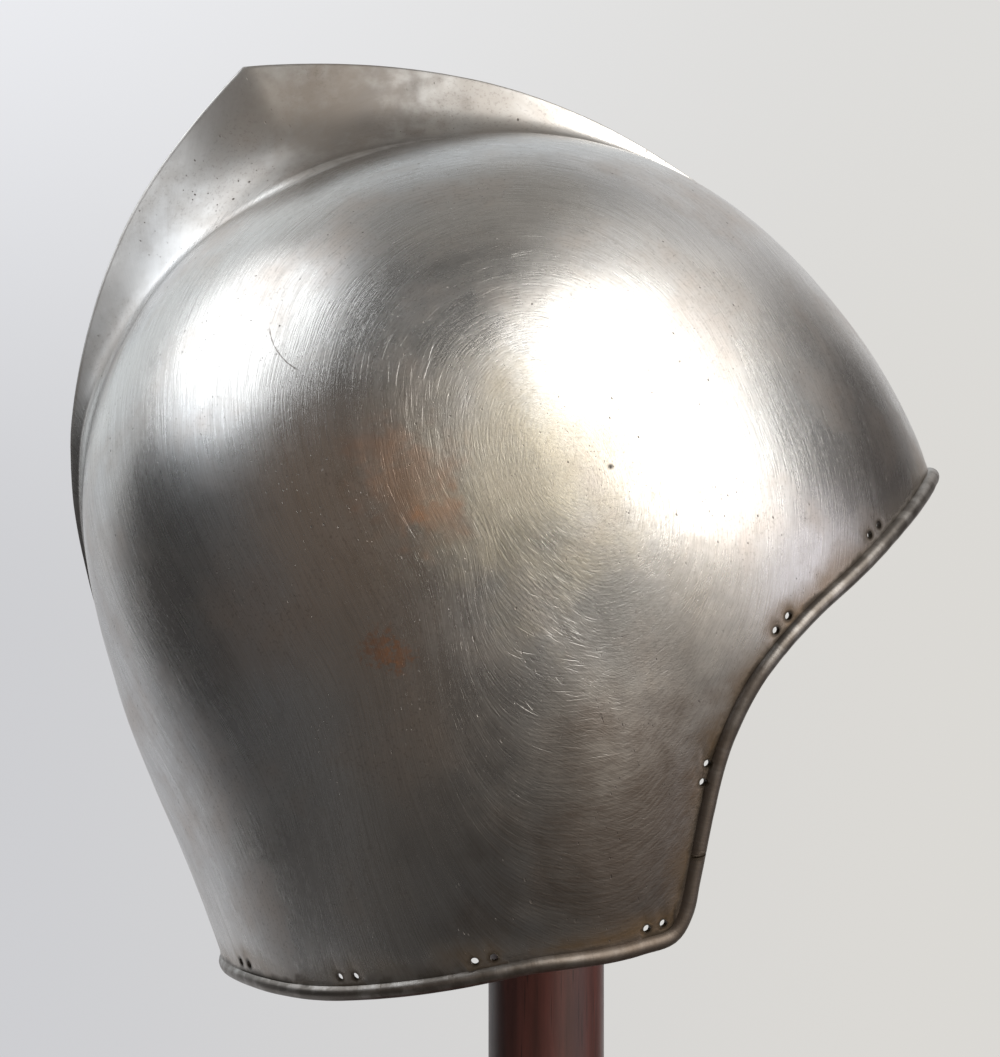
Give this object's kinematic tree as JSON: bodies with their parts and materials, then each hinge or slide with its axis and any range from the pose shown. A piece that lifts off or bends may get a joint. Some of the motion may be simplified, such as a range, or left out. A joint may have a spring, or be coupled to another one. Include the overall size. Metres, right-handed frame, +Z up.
{
  "type": "combed open-faced steel helmet on a wooden post stand",
  "caption": "Close-fitting open-faced steel helmet with a tall pointed comb, a turned edge and paired lining holes, shown on a turned wooden post with a round foot.",
  "frame": {"origin": "centre of the underside of the stand's round foot", "axes": "+X the way the helmet faces, +Y to the wearer's left, +Z up through the post"},
  "size_m": [0.2631, 0.1976, 0.3692],
  "materials": {
    "steel": "worn, hand-polished satin",
    "stand_wood": "polished dark red-brown"
  },
  "bodies": {
    "root": {"helmet": "steel", "stand_head": "stand_wood", "stand_post": "stand_wood", "stand_foot": "stand_wood"}
  },
  "joints": []
}
